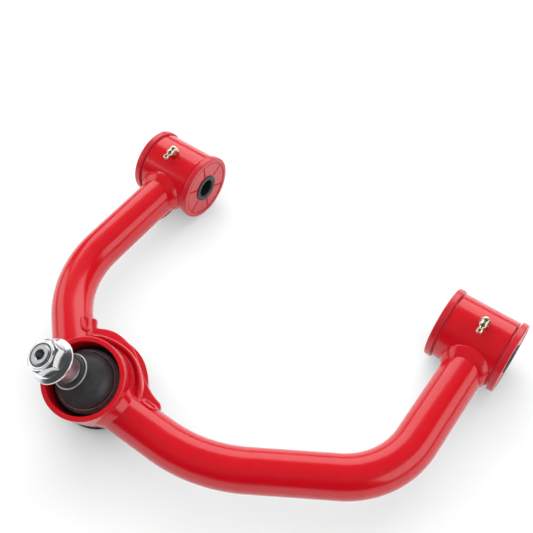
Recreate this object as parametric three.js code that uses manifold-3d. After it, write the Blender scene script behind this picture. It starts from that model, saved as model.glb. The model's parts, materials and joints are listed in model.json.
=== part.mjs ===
// Tubular upper control arm with two flanged bushings and a ball joint, in millimetres.
// Built with X along the bushings' pivot axis and +Z on the stud side, then set on z = 0.
import * as THREE from 'three';
import Module from 'manifold-3d';
import { mergeVertices } from 'three/addons/utils/BufferGeometryUtils.js';

const wasm = await Module();
wasm.setup();

// ---------- driving dimensions, mm and degrees ----------
const GAP = 0.3;
const PIVOT_SPAN = 275;
const REACH = 188.7;
const BALL_OFFSET = -58.7;

const FLANGE_R = 27;
const FLANGE_T = 5;
const BUSH_LENGTH = 54.6;
const GROOVE = 0.9;
const HOUSING_R = 25.5;
const HOUSING_WALL = 3.5;
const SLEEVE_R = 11.3;
const SLEEVE_BORE_R = 7.3;
const SLEEVE_CLEARANCE = 0.12;
const SLEEVE_PROUD = 0.5;

const TUBE_R = 15;
const TUBE_WALL = 3;
const TUBE_DROP = 1;
const SHORT_BEND_R = 83;
const LONG_BEND_R = 59;
const LONG_SWEEP_R = 110;
const LONG_LEG_OFFSET = 3.8;
const SHORT_LEG_ANGLE = 47;
const SHORT_LEG_ASIDE = 12;
const LONG_LEG_ANGLE = 58.2;

const CUP_R = 28.2;
const CUP_BORE_R = 24.6;
const RIM_ABOVE_BALL = 26.5;
const CUP_BELOW_BALL = 17.4;
const CUP_LEAN = 20.5;
const CUP_LEAN_HEADING = -63;

const BALL_R = 14.5;
const BALL_CLEARANCE = 0.3;
const STUD_LEAN = 23.2;
const STUD_HEADING = -121.7;
const STUD_NECK_R = 7.5;
const TAPER_BIG_R = 8.6;
const TAPER_SMALL_R = 7.4;
const THREAD_R = 7;
const THREAD_CLEARANCE = 0.1;
const STUD_LENGTH = 60.8;
const HEX_SOCKET = 6;
const NUT_SEAT = 46.6;
const NUT_HEX = 21;
const NUT_HEIGHT = 13.2;
const NUT_FLANGE_R = 15.3;

const CAP_R = 29.3;
const CAP_FLAT_R = 18.5;
const CAP_CHAMFER = 5;
const CAP_SKIRT = 3;

const BOOT_TOP = 28.6;
const BOOT_WAIST = 18.6;
const BOOT_NECK_R = 11.2;
const BOOT_BASE_R = 21.4;
const WAIST_SEAT_R = 18.8;
const WAIST_WIRE = 0.5;

// Facets round a turned part, round a small one, round the cup and round a leg.
const ROUND = 28;
const SMALL_ROUND = 12;
const CUP_ROUND = 36;
const LEG_ROUND = 16;

// ---------- materials ----------
const LOOKS = {
  powder_coat: [0xd0021b, 0.25, 0.0],
  bush_polyurethane: [0xd8102a, 0.4, 0.0],
  sleeve_steel: [0x55585c, 0.4, 0.9],
  fitting_brass: [0xcfc39a, 0.35, 0.9],
  housing_steel: [0x4a4c50, 0.45, 0.9],
  race_polymer: [0xe6e1d2, 0.5, 0.0],
  spring_steel: [0x5b5e63, 0.35, 0.9],
  stud_steel: [0xb9bcc0, 0.25, 1.0],
  nut_zinc: [0xd9dbde, 0.25, 1.0],
  nut_nylon: [0xe9e9ea, 0.5, 0.0],
  boot_rubber: [0x1b1b1c, 0.5, 0.0],
  cap_black: [0x202123, 0.4, 0.0],
};

// ---------- solids ----------
function solid(geometry) {
  const bare = geometry.clone();
  bare.deleteAttribute('normal');
  bare.deleteAttribute('uv');
  const merged = mergeVertices(bare, 1e-4);
  const index = merged.index.array;
  const kept = [];
  for (let i = 0; i < index.length; i += 3) {
    const [a, b, c] = [index[i], index[i + 1], index[i + 2]];
    if (a !== b && b !== c && a !== c) kept.push(a, b, c);
  }
  return new wasm.Manifold(new wasm.Mesh({
    numProp: 3,
    vertProperties: Float32Array.from(merged.attributes.position.array),
    triVerts: Uint32Array.from(kept),
  }));
}

function geometryOf(body) {
  const mesh = body.getMesh();
  const geometry = new THREE.BufferGeometry();
  geometry.setAttribute('position', new THREE.BufferAttribute(mesh.vertProperties, 3));
  geometry.setIndex(new THREE.BufferAttribute(mesh.triVerts, 1));
  return geometry;
}

// A body turned about +Z from a closed profile of [radius, height], anticlockwise.
function turned(profile, segments = ROUND) {
  const points = profile.map(([r, h]) => new THREE.Vector2(r, h));
  points.push(points[0].clone());
  return new THREE.LatheGeometry(points, segments).rotateX(Math.PI / 2);
}

function rod(radius, low, high, segments = ROUND) {
  return turned([[0, low], [radius, low], [radius, high], [0, high]], segments);
}

function ring(inner, outer, low, high, segments = ROUND) {
  return turned([[inner, low], [outer, low], [outer, high], [inner, high]], segments);
}

function hexPrism(acrossFlats, low, high) {
  const corner = acrossFlats / Math.sqrt(3);
  return rod(corner, low, high, 6);
}

function arcPoints(cx, cy, radius, from, to, count) {
  return Array.from({ length: count + 1 }, (_, i) => {
    const a = THREE.MathUtils.degToRad(from + (to - from) * i / count);
    return [cx + radius * Math.cos(a), cy + radius * Math.sin(a)];
  });
}

// ---------- placing ----------
const deg = THREE.MathUtils.degToRad;
const UP = new THREE.Vector3(0, 0, 1);

function leaning(lean, heading) {
  const s = Math.sin(deg(lean));
  return new THREE.Vector3(s * Math.cos(deg(heading)), s * Math.sin(deg(heading)), Math.cos(deg(lean)));
}

function axisFrame(origin, direction) {
  const turn = new THREE.Quaternion().setFromUnitVectors(UP, direction);
  return new THREE.Matrix4().compose(origin, turn, new THREE.Vector3(1, 1, 1));
}

// The cap's lower edge stands on the same floor as the bushing flanges.
const cupAxis = leaning(CUP_LEAN, CUP_LEAN_HEADING);
const capBelowBall = CUP_BELOW_BALL + GAP + CAP_SKIRT + CAP_CHAMFER;
const ballHeight = capBelowBall * Math.cos(deg(CUP_LEAN)) + CAP_FLAT_R * Math.sin(deg(CUP_LEAN)) - FLANGE_R;
const ballCentre = new THREE.Vector3(BALL_OFFSET, -REACH, ballHeight);
const studAxis = leaning(STUD_LEAN, STUD_HEADING);
const inCup = axisFrame(ballCentre, cupAxis);
const onStud = axisFrame(ballCentre, studAxis);

function cupSolid(radius, low, high) {
  return solid(rod(radius, low, high, CUP_ROUND).applyMatrix4(inCup));
}

// ---------- legs ----------
class Bend extends THREE.Curve {
  constructor(centre, start, sweep) {
    super();
    this.centre = centre;
    this.start = start;
    this.sweep = sweep;
  }

  getPoint(t, target = new THREE.Vector3()) {
    target.copy(this.start).sub(this.centre);
    return target.applyAxisAngle(UP, this.sweep * t).add(this.centre);
  }
}

// A flat path through corners, each rounded to its own radius.
function bentPath(corners, radii) {
  const path = new THREE.CurvePath();
  let from = corners[0];
  for (let i = 1; i < corners.length - 1; i += 1) {
    const corner = corners[i];
    const inward = corner.clone().sub(corners[i - 1]).normalize();
    const outward = corners[i + 1].clone().sub(corner).normalize();
    const turn = inward.angleTo(outward);
    const side = Math.sign(new THREE.Vector3().crossVectors(inward, outward).z);
    const tangent = radii[i - 1] * Math.tan(turn / 2);
    const start = corner.clone().addScaledVector(inward, -tangent);
    const normal = new THREE.Vector3(-inward.y, inward.x, 0).multiplyScalar(side * radii[i - 1]);
    path.add(new THREE.LineCurve3(from, start));
    path.add(new Bend(start.clone().add(normal), start, side * turn));
    from = corner.clone().addScaledVector(outward, tangent);
  }
  path.add(new THREE.LineCurve3(from, corners[corners.length - 1]));
  return path;
}

const SHORT_X = -PIVOT_SPAN / 2;
const LONG_X = PIVOT_SPAN / 2 + LONG_LEG_OFFSET;
const FOOT_Y = -REACH - 2.6;

// The short leg passes the ball on its outer side, so that its flank runs into the cup's.
function shortLegPath() {
  const footX = BALL_OFFSET - SHORT_LEG_ASIDE * Math.cos(deg(SHORT_LEG_ANGLE));
  const footY = -REACH - SHORT_LEG_ASIDE * Math.sin(deg(SHORT_LEG_ANGLE));
  const rise = (footX - SHORT_X) / Math.tan(deg(SHORT_LEG_ANGLE));
  return bentPath([
    new THREE.Vector3(SHORT_X, 0, -TUBE_DROP),
    new THREE.Vector3(SHORT_X, footY + rise, -TUBE_DROP),
    new THREE.Vector3(footX, footY, -TUBE_DROP),
  ], [SHORT_BEND_R]);
}

function longLegPath() {
  const cornerX = BALL_OFFSET + 95;
  const rise = (LONG_X - cornerX) / Math.tan(deg(LONG_LEG_ANGLE));
  return bentPath([
    new THREE.Vector3(LONG_X, 0, -TUBE_DROP),
    new THREE.Vector3(LONG_X, FOOT_Y + rise, -TUBE_DROP),
    new THREE.Vector3(cornerX, FOOT_Y, -TUBE_DROP),
    new THREE.Vector3(BALL_OFFSET, FOOT_Y, -TUBE_DROP),
  ], [LONG_BEND_R, LONG_SWEEP_R]);
}

function circle(radius, segments) {
  return new THREE.Shape(arcPoints(0, 0, radius, 0, 360 - 360 / segments, segments - 1)
    .map(([x, y]) => new THREE.Vector2(x, y)));
}

function legSolid(path, radius, steps, bore = 0) {
  const shape = circle(radius, LEG_ROUND);
  if (bore > 0) shape.holes.push(new THREE.Path(circle(bore, LEG_ROUND).getPoints()));
  return solid(new THREE.ExtrudeGeometry(shape, { steps, extrudePath: path, curveSegments: 1 }));
}

const shortPath = shortLegPath();
const longPath = longLegPath();
const LEGS = {
  short: { path: shortPath, steps: 26, x: SHORT_X, bushX: -PIVOT_SPAN / 2, out: -1 },
  long: { path: longPath, steps: 38, x: LONG_X, bushX: PIVOT_SPAN / 2, out: 1 },
};
const housingLength = BUSH_LENGTH - 2 * FLANGE_T - 2 * GROOVE;
const cupCutter = cupSolid(CUP_R + GAP, -60, 60).add(cupSolid(CAP_R + GAP, -60, GAP - CUP_BELOW_BALL));
for (const leg of Object.values(LEGS)) {
  leg.solid = legSolid(leg.path, TUBE_R + GAP, leg.steps);
  leg.grown = legSolid(leg.path, TUBE_R + 3, leg.steps);
}

// Geometry made about +Z, laid along the pivot axis at a bushing.
function onPivot(geometry, leg, outward = 1) {
  return geometry.rotateY(outward * Math.PI / 2).translate(leg.bushX, 0, 0);
}

function housingSolid(leg, radius, length = housingLength) {
  return solid(onPivot(rod(radius, -length / 2, length / 2), leg));
}

function makeTube(leg) {
  const tube = legSolid(leg.path, TUBE_R, leg.steps, TUBE_R - TUBE_WALL);
  return largest(tube.subtract(housingSolid(leg, HOUSING_R + GAP, 2 * housingLength)).subtract(cupCutter));
}

const FITTING_SHIFT = 1.5;
const FITTING_TILT = 6;
const FITTING_SHANK_R = 3;

function atFitting(geometry, leg) {
  return geometry.rotateX(deg(FITTING_TILT)).translate(leg.bushX + leg.out * FITTING_SHIFT, 0, 0);
}

function makeHousing(leg) {
  const half = housingLength / 2;
  const inner = HOUSING_R - HOUSING_WALL;
  const barrel = solid(onPivot(turned([
    [inner, -half], [HOUSING_R - 0.8, -half], [HOUSING_R, 0.8 - half],
    [HOUSING_R, half - 0.8], [HOUSING_R - 0.8, half], [inner, half],
  ]), leg));
  const hole = rod(FITTING_SHANK_R + GAP, HOUSING_R - 8, HOUSING_R + 8, SMALL_ROUND);
  return barrel.subtract(solid(atFitting(hole, leg)));
}

function makeHousingWeld(leg) {
  const near = solid(rod(TUBE_R + 3, 0, 60).rotateX(Math.PI / 2).translate(leg.x, 0, -TUBE_DROP));
  return near.intersect(housingSolid(leg, HOUSING_R + 3, housingLength - 1))
    .subtract(housingSolid(leg, HOUSING_R + GAP))
    .subtract(leg.solid);
}

// ---------- bushings ----------
function makeBushHalf(leg, outward) {
  const face = BUSH_LENGTH / 2;
  const seat = face - FLANGE_T;
  const bore = SLEEVE_R + SLEEVE_CLEARANCE;
  const barrel = HOUSING_R - HOUSING_WALL - GAP;
  const lipR = FLANGE_R - 3.6;
  const body = solid(onPivot(turned([
    [bore, GAP / 2], [barrel, GAP / 2], [barrel, seat], [FLANGE_R, seat],
    [FLANGE_R, face - 1], [FLANGE_R - 1, face], [bore, face],
  ]), leg, outward));
  const grooves = Array.from({ length: 6 }, (_, i) => {
    const slot = new THREE.BoxGeometry(8, 1.4, 1.6).translate((SLEEVE_R + lipR) / 2 + 0.4, 0, face);
    return solid(onPivot(slot.rotateZ(i * Math.PI / 3 + Math.PI / 6), leg, outward));
  });
  return body.subtract(wasm.Manifold.union(grooves));
}

function makeSleeve(leg) {
  const half = BUSH_LENGTH / 2 + SLEEVE_PROUD;
  return solid(onPivot(turned([
    [SLEEVE_BORE_R, 0.6 - half], [SLEEVE_BORE_R + 0.6, -half], [SLEEVE_R, -half],
    [SLEEVE_R, half], [SLEEVE_BORE_R + 0.6, half], [SLEEVE_BORE_R, half - 0.6],
  ]), leg));
}

// ---------- angled grease fitting, its nipple towards the ball joint ----------
function makeFitting(leg) {
  const seat = HOUSING_R + GAP;
  const elbow = seat + 5.6;
  const shank = solid(rod(FITTING_SHANK_R, HOUSING_R - HOUSING_WALL + GAP, seat + 1, SMALL_ROUND));
  const hex = solid(hexPrism(7, seat, seat + 3.4));
  const knee = solid(turned([
    [0, seat + 3], [3, seat + 3], [3, elbow], ...arcPoints(0, elbow, 3, 30, 90, 2),
  ], SMALL_ROUND));
  const nipple = solid(turned([
    [0, 0], [2.7, 0], [2.7, 5], [1.7, 6.4], [1.7, 7.6], [2.5, 8.6], ...arcPoints(0, 8.7, 2.5, 30, 90, 2),
  ], SMALL_ROUND).rotateX(Math.PI / 2).translate(0, 0, elbow - 0.4));
  const whole = wasm.Manifold.union([shank, hex, knee, nipple]);
  return solid(atFitting(geometryOf(whole), leg));
}

// ---------- ball-joint cup and the webs between the legs ----------
const cupEnd = -CUP_BELOW_BALL - CAP_SKIRT + GAP;
const SPIGOT_R = CUP_R - 1.7;

function makeCup() {
  return solid(turned([
    [CUP_BORE_R, cupEnd], [SPIGOT_R, cupEnd], [SPIGOT_R, -CUP_BELOW_BALL], [CUP_R, -CUP_BELOW_BALL],
    [CUP_R, RIM_ABOVE_BALL - 1], [CUP_R - 1, RIM_ABOVE_BALL], [CUP_BORE_R, RIM_ABOVE_BALL],
  ], CUP_ROUND).applyMatrix4(inCup));
}

function makeCupWeld(leg) {
  return leg.grown.intersect(cupSolid(CUP_R + 3, -CUP_BELOW_BALL, RIM_ABOVE_BALL - 1))
    .subtract(cupCutter).subtract(leg.solid).subtract(webBlock);
}

// Where the cup's axis passes a given height.
function cupAxisAt(z) {
  return ballCentre.clone().addScaledVector(cupAxis, (z - ballCentre.z) / cupAxis.z);
}

const WEB_CROWN = 38.5;
const WEB_TIP = 48;
const shortDirection = new THREE.Vector2(-Math.sin(deg(SHORT_LEG_ANGLE)), Math.cos(deg(SHORT_LEG_ANGLE)));

// A point beside the short leg: distance along it from the ball, and in from its centreline.
function besideShort(along, side) {
  const across = side - SHORT_LEG_ASIDE;
  return new THREE.Vector2(shortDirection.x * along + shortDirection.y * across,
    shortDirection.y * along - shortDirection.x * across);
}

function webOutline() {
  const shape = new THREE.Shape();
  const ear = besideShort(WEB_TIP + 8, TUBE_R - 4);
  const earTop = besideShort(WEB_TIP + 6.5, TUBE_R + 1.5);
  const notch = besideShort(WEB_TIP - 2, TUBE_R + 3);
  const heel = besideShort(WEB_TIP - 6, TUBE_R + 12.5);
  shape.moveTo(0, 0);
  shape.lineTo(WEB_TIP - 3, -6);
  shape.lineTo(WEB_TIP, TUBE_R - 2);
  shape.quadraticCurveTo(WEB_TIP + 0.5, TUBE_R + 1, WEB_TIP - 4, TUBE_R + 2);
  shape.bezierCurveTo(WEB_CROWN - 10, 20, 20, WEB_CROWN - 9, 2, WEB_CROWN);
  shape.bezierCurveTo(-6, WEB_CROWN + 1.6, heel.x + 6, heel.y + 2, heel.x, heel.y);
  shape.quadraticCurveTo(heel.x - 4, heel.y - 1, notch.x, notch.y);
  shape.quadraticCurveTo(notch.x - 1, notch.y - 1, earTop.x + 2, earTop.y);
  shape.quadraticCurveTo(earTop.x - 1, earTop.y + 1, ear.x, ear.y);
  shape.lineTo(besideShort(WEB_TIP + 2, -4).x, besideShort(WEB_TIP + 2, -4).y);
  return shape;
}

// A cover between the legs that follows the cup at a set distance from its axis.
function coverOutline(radius) {
  const shape = new THREE.Shape();
  const reach = WEB_TIP - 6;
  const a = besideShort(reach, TUBE_R - 9);
  const b = besideShort(reach - 2, TUBE_R + 1);
  shape.moveTo(0, 0);
  shape.lineTo(reach, TUBE_R - 9);
  shape.quadraticCurveTo(reach + 1, TUBE_R, reach - 5, TUBE_R + 1.5);
  shape.bezierCurveTo(radius - 2, 20, 22, radius - 7, 0, radius);
  shape.bezierCurveTo(-14, radius + 1, b.x + 8, b.y + 4, b.x, b.y);
  shape.quadraticCurveTo(a.x - 2, a.y + 4, a.x, a.y);
  return shape;
}

function plate(shape, low, high, bevel = 0) {
  return new THREE.ExtrudeGeometry(shape, {
    depth: high - low - 2 * bevel,
    curveSegments: 5,
    bevelEnabled: bevel > 0,
    bevelSize: bevel,
    bevelOffset: -bevel,
    bevelThickness: bevel,
    bevelSegments: 2,
  }).translate(0, 0, low + bevel);
}

const WEB_T = 5;
const COVER_TOP = 13;
const COVER_RADIUS = 35;
const webBlock = solid(plate(webOutline(), -WEB_T / 2 - GAP, WEB_T / 2 + GAP)
  .translate(ballCentre.x, ballCentre.y, -TUBE_DROP));

function trimmed(body) {
  return body.subtract(cupCutter).subtract(LEGS.short.solid).subtract(LEGS.long.solid);
}

// The largest separate piece, so that slivers left by a cut are dropped.
function largest(body) {
  const pieces = body.decompose();
  return pieces.reduce((best, piece) => (piece.volume() > best.volume() ? piece : best));
}

function makeWebPlate() {
  const body = plate(webOutline(), -WEB_T / 2, WEB_T / 2, 0.8);
  return largest(trimmed(solid(body.translate(ballCentre.x, ballCentre.y, -TUBE_DROP))));
}

function makeCover(side) {
  const near = WEB_T / 2 + GAP;
  const centre = cupAxisAt(side * (near + COVER_TOP) / 2);
  const [low, high] = side > 0 ? [near, COVER_TOP] : [-COVER_TOP, -near];
  const body = plate(coverOutline(COVER_RADIUS), low, high, 1.5);
  const grown = body.translate(centre.x, centre.y, -TUBE_DROP);
  return largest(trimmed(solid(grown)).subtract(cupWelds.short).subtract(cupWelds.long));
}

// ---------- gusset under each bushing ----------
const GUSSET_W = 10;
const GUSSET_END = 52;

function makeGusset(leg) {
  const floor = HOUSING_R - 0.9;
  const outline = new THREE.Shape([
    new THREE.Vector2(8, floor), new THREE.Vector2(HOUSING_R + 3, floor - 1.5),
    new THREE.Vector2(GUSSET_END - 4, TUBE_R + TUBE_DROP + 2.5), new THREE.Vector2(GUSSET_END, TUBE_R + TUBE_DROP),
    new THREE.Vector2(GUSSET_END - 2, TUBE_DROP), new THREE.Vector2(8, TUBE_DROP),
  ]);
  const fin = plate(outline, -GUSSET_W / 2, GUSSET_W / 2, 1.2);
  const frame = new THREE.Matrix4().makeBasis(
    new THREE.Vector3(0, -1, 0), new THREE.Vector3(0, 0, -1), new THREE.Vector3(1, 0, 0));
  const placed = solid(fin.applyMatrix4(frame).translate(leg.x, 0, 0));
  const body = placed.subtract(housingSolid(leg, HOUSING_R + GAP)).subtract(leg.solid);
  return largest(body.subtract(housingWeldGrown(leg)));
}

function housingWeldGrown(leg) {
  const near = solid(rod(TUBE_R + 3 + GAP, 0, 60).rotateX(Math.PI / 2).translate(leg.x, 0, -TUBE_DROP));
  return near.intersect(housingSolid(leg, HOUSING_R + 3 + GAP, housingLength - 1 + 2 * GAP));
}

// ---------- ball joint, about the cup's axis with heights from the ball's centre ----------
const SHELL_R = CUP_BORE_R - GAP;
const SHELL_BORE_R = BALL_R + 5.8;
const LIP = 7.2;
const BOSS_TOP = 14.5;
const BOSS_R = BOOT_BASE_R - 2.8;
const CAP_FLOOR = -capBelowBall;

function makeJointShell() {
  return solid(turned([
    [SHELL_BORE_R, cupEnd], [SHELL_R, cupEnd], [SHELL_R, 9.2], [BOSS_R, 9.2], [BOSS_R, BOSS_TOP],
    [16.9, BOSS_TOP], [13.7, LIP], [SHELL_BORE_R, LIP],
    [SHELL_BORE_R, cupEnd + 2.2], [SHELL_BORE_R + 1.6, cupEnd + 2.2],
    [SHELL_BORE_R + 1.6, cupEnd + 0.3], [SHELL_BORE_R, cupEnd + 0.3],
  ]).applyMatrix4(inCup));
}

const RACE_R = SHELL_BORE_R - GAP;
const seatR = BALL_R + BALL_CLEARANCE;
const seatAngle = (height) => THREE.MathUtils.radToDeg(Math.asin(height / seatR));

function makeUpperRace() {
  const [low, high] = [0.4, LIP - GAP];
  const bowl = arcPoints(0, 0, seatR, seatAngle(high), seatAngle(low), 3);
  return solid(turned([[RACE_R, low], [RACE_R, high], ...bowl]).applyMatrix4(inCup));
}

function makeLowerRace() {
  const [low, high] = [-0.8 * BALL_R, -0.4];
  const bowl = arcPoints(0, 0, seatR, seatAngle(high), seatAngle(low), 5);
  return solid(turned([[RACE_R, low], [RACE_R, high], ...bowl]).applyMatrix4(inCup));
}

const springTop = -0.8 * BALL_R - GAP;
const coverTop = cupEnd + 2.2 + 2.5;

function makePreloadSpring() {
  const low = coverTop + GAP;
  return solid(turned([
    [9.2, springTop - 1.1], [RACE_R - 0.6, low], [RACE_R - 0.6, low + 1.1], [9.2, springTop],
  ]).applyMatrix4(inCup));
}

function makeCoverPlate() {
  return solid(rod(RACE_R, coverTop - 2.2, coverTop).applyMatrix4(inCup));
}

function makeSnapRing() {
  const body = solid(ring(RACE_R - 2.4, SHELL_BORE_R + 1.3, cupEnd + 0.5, cupEnd + 1.9).applyMatrix4(inCup));
  const mouth = new THREE.BoxGeometry(12, 5, 6).translate(RACE_R, 0, cupEnd + 1);
  return body.subtract(solid(mouth.applyMatrix4(inCup)));
}

function makeDustCap() {
  const skirtTop = CAP_FLOOR + CAP_CHAMFER + CAP_SKIRT;
  const step = cupEnd - GAP;
  return solid(turned([
    [0, CAP_FLOOR], [CAP_FLAT_R, CAP_FLOOR], [CAP_R, CAP_FLOOR + CAP_CHAMFER],
    [CAP_R, skirtTop], [SPIGOT_R + GAP, skirtTop],
    [SPIGOT_R + GAP, step], [CUP_BORE_R - 1, step], [CAP_FLAT_R - 1.5, CAP_FLOOR + 1.8], [0, CAP_FLOOR + 1.8],
  ], CUP_ROUND).applyMatrix4(inCup));
}

// ---------- rubber boot, leaned with the stud ----------
const bootTurn = new THREE.Vector3().crossVectors(cupAxis, studAxis).normalize();
const bootAngle = cupAxis.angleTo(studAxis);

// Each point turns about the ball's centre by a share that grows from the waist to the neck.
function leaned(geometry) {
  const position = geometry.attributes.position;
  const point = new THREE.Vector3();
  for (let i = 0; i < position.count; i += 1) {
    point.fromBufferAttribute(position, i);
    const share = THREE.MathUtils.smoothstep(point.z, BOOT_WAIST, BOOT_TOP - 4);
    point.applyMatrix4(inCup).sub(ballCentre).applyAxisAngle(bootTurn, share * bootAngle).add(ballCentre);
    position.setXYZ(i, point.x, point.y, point.z);
  }
  return geometry;
}

function makeBootLowerFold() {
  const r = BOOT_BASE_R;
  return solid(leaned(turned([
    [r - 2.5, 9.5], [r, 9.5], [r + 0.5, 12.5], [r + 0.4, 14.4], [r - 0.6, 16.2], [r - 1.6, 16.8],
    [WAIST_SEAT_R, 17.1], [WAIST_SEAT_R, BOOT_WAIST - GAP], [WAIST_SEAT_R - 1.5, BOOT_WAIST - GAP],
    [WAIST_SEAT_R - 1.5, 16.4], [r - 2.5, 15],
  ])));
}

function makeBootUpperFold() {
  const r = WAIST_SEAT_R;
  const bore = TAPER_BIG_R + 0.7;
  return solid(leaned(turned([
    [r - 1.5, BOOT_WAIST], [r, BOOT_WAIST], [r - 0.2, 20.2], [r - 1.2, 21.6], [r - 3.4, 23.2],
    [BOOT_NECK_R, 25], [BOOT_NECK_R, BOOT_TOP], [bore, BOOT_TOP], [bore, 24], [r - 4.2, 21.4], [r - 1.9, 20],
  ])));
}

function wireRing(radius, wire, height) {
  return turned(arcPoints(radius, height, wire, 0, 288, 4));
}

// ---------- stud and nut, about the stud's axis ----------
function makeStud() {
  const neckStart = THREE.MathUtils.radToDeg(Math.acos(STUD_NECK_R / BALL_R));
  const body = solid(turned([
    ...arcPoints(0, 0, BALL_R, -90, neckStart, 9),
    [STUD_NECK_R, 19], [9, 23.6], [9, 29], [TAPER_BIG_R, 30.5], [TAPER_SMALL_R, NUT_SEAT - 2],
    [THREAD_R, NUT_SEAT - 1], [THREAD_R, STUD_LENGTH - 0.9], [THREAD_R - 0.9, STUD_LENGTH], [0, STUD_LENGTH],
  ]).applyMatrix4(onStud));
  const socket = solid(hexPrism(HEX_SOCKET, STUD_LENGTH - 6, STUD_LENGTH + 2).applyMatrix4(onStud));
  return body.subtract(socket);
}

const nutTop = NUT_SEAT + NUT_HEIGHT;

function makeNut() {
  const corner = NUT_HEX / Math.sqrt(3);
  const flange = solid(turned([
    [0, NUT_SEAT], [NUT_FLANGE_R - 0.4, NUT_SEAT], [NUT_FLANGE_R, NUT_SEAT + 0.5], [NUT_FLANGE_R, NUT_SEAT + 1.4],
    [corner - 1, NUT_SEAT + 4.4], [0, NUT_SEAT + 4.4],
  ]));
  const hex = solid(hexPrism(NUT_HEX, NUT_SEAT + 1, nutTop - 1.2));
  const trim = solid(turned([
    [0, NUT_SEAT], [corner + 1, NUT_SEAT], [corner + 1, nutTop - 2.8], [NUT_HEX / 2 - 0.2, nutTop - 1.2],
    [0, nutTop - 1.2],
  ]));
  const crown = solid(turned([
    [0, nutTop - 3], [NUT_HEX / 2 - 1.8, nutTop - 3], [NUT_HEX / 2 - 1.8, nutTop], [0, nutTop],
  ]));
  const bore = solid(rod(THREAD_R + THREAD_CLEARANCE, NUT_SEAT - 1, nutTop + 1));
  const pocket = solid(rod(NUT_HEX / 2 - 2.5, nutTop - 2.2 - GAP, nutTop + 1));
  const nut = wasm.Manifold.union([flange, hex.intersect(trim), crown]).subtract(bore).subtract(pocket);
  return solid(geometryOf(nut).applyMatrix4(onStud));
}

function makeNutInsert() {
  const body = ring(THREAD_R + THREAD_CLEARANCE, NUT_HEX / 2 - 2.5 - GAP, nutTop - 2.2, nutTop - 0.3);
  return solid(body.applyMatrix4(onStud));
}

// ---------- assembly ----------
const group = new THREE.Group();
group.name = 'upper_control_arm';

function add(name, look, body) {
  const [color, roughness, metalness] = LOOKS[look];
  const material = new THREE.MeshStandardMaterial({ name: look, color, roughness, metalness });
  const mesh = new THREE.Mesh(geometryOf(body), material);
  mesh.name = name;
  group.add(mesh);
}

const cupWelds = {};
for (const [side, leg] of Object.entries(LEGS)) {
  add(`${side}_leg_tube`, 'powder_coat', makeTube(leg));
  add(`${side}_leg_bush_housing`, 'powder_coat', makeHousing(leg));
  add(`${side}_leg_housing_weld`, 'powder_coat', largest(makeHousingWeld(leg)));
  add(`${side}_leg_gusset`, 'powder_coat', makeGusset(leg));
  add(`${side}_leg_outer_bush`, 'bush_polyurethane', makeBushHalf(leg, leg.out));
  add(`${side}_leg_inner_bush`, 'bush_polyurethane', makeBushHalf(leg, -leg.out));
  add(`${side}_leg_sleeve`, 'sleeve_steel', makeSleeve(leg));
  add(`${side}_leg_grease_fitting`, 'fitting_brass', makeFitting(leg));
}

for (const [side, leg] of Object.entries(LEGS)) {
  const weld = makeCupWeld(leg);
  cupWelds[side] = leg.grown.intersect(cupSolid(CUP_R + 3 + GAP, -CUP_BELOW_BALL - 1, RIM_ABOVE_BALL));
  add(`${side}_leg_cup_weld`, 'powder_coat', largest(weld));
}

add('ball_joint_cup', 'powder_coat', makeCup());
add('web_plate', 'powder_coat', makeWebPlate());
add('web_upper_cover', 'powder_coat', makeCover(1));
add('web_lower_cover', 'powder_coat', makeCover(-1));
add('ball_joint_shell', 'housing_steel', makeJointShell());
add('upper_race', 'race_polymer', makeUpperRace());
add('lower_race', 'race_polymer', makeLowerRace());
add('preload_spring', 'spring_steel', makePreloadSpring());
add('cover_plate', 'housing_steel', makeCoverPlate());
add('snap_ring', 'spring_steel', makeSnapRing());
add('dust_cap', 'cap_black', makeDustCap());
const waistRing = wireRing(WAIST_SEAT_R + GAP + WAIST_WIRE, WAIST_WIRE, BOOT_WAIST - 0.7);
add('boot_waist_ring', 'spring_steel', solid(waistRing.applyMatrix4(inCup)));
add('boot_lower_fold', 'boot_rubber', makeBootLowerFold());
add('boot_upper_fold', 'boot_rubber', makeBootUpperFold());
add('boot_neck_ring', 'spring_steel', solid(wireRing(BOOT_NECK_R + 0.95, 0.6, 27).applyMatrix4(onStud)));
add('ball_stud', 'stud_steel', makeStud());
add('stud_nut', 'nut_zinc', makeNut());
add('nut_insert', 'nut_nylon', makeNutInsert());

// The origin goes to the middle of the underside of the whole part.
const bounds = new THREE.Box3().setFromObject(group);
const middle = bounds.getCenter(new THREE.Vector3());
for (const mesh of group.children) mesh.geometry.translate(-middle.x, -middle.y, -bounds.min.z);

export default group;
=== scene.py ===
"""Tubular upper control arm: powder-coated weldment, polyurethane bushings, ball joint and flange nut.

The pieces are built in millimetres about the bushings' pivot axis, X along it, then set in the row frame.
"""

import json
import math

import bmesh
import bpy
import numpy as np
from mathutils import Matrix, Quaternion, Vector


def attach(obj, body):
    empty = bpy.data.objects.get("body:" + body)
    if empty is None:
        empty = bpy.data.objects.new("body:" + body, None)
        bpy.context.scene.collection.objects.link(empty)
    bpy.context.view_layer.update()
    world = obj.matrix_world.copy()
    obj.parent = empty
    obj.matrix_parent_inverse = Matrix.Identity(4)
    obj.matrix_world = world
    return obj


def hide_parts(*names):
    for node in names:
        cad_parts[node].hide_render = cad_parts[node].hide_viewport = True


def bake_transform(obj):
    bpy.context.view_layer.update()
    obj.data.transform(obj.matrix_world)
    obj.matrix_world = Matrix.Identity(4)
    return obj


bl_info = {
    "name": "Upper control arm",
    "version": (1, 0, 0),
    "blender": (4, 5, 0),
    "location": "View3D > Sidebar > Control arm",
    "description": "Builds the finished look of a tubular upper control arm around its packed frame",
    "category": "Object",
}

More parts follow.
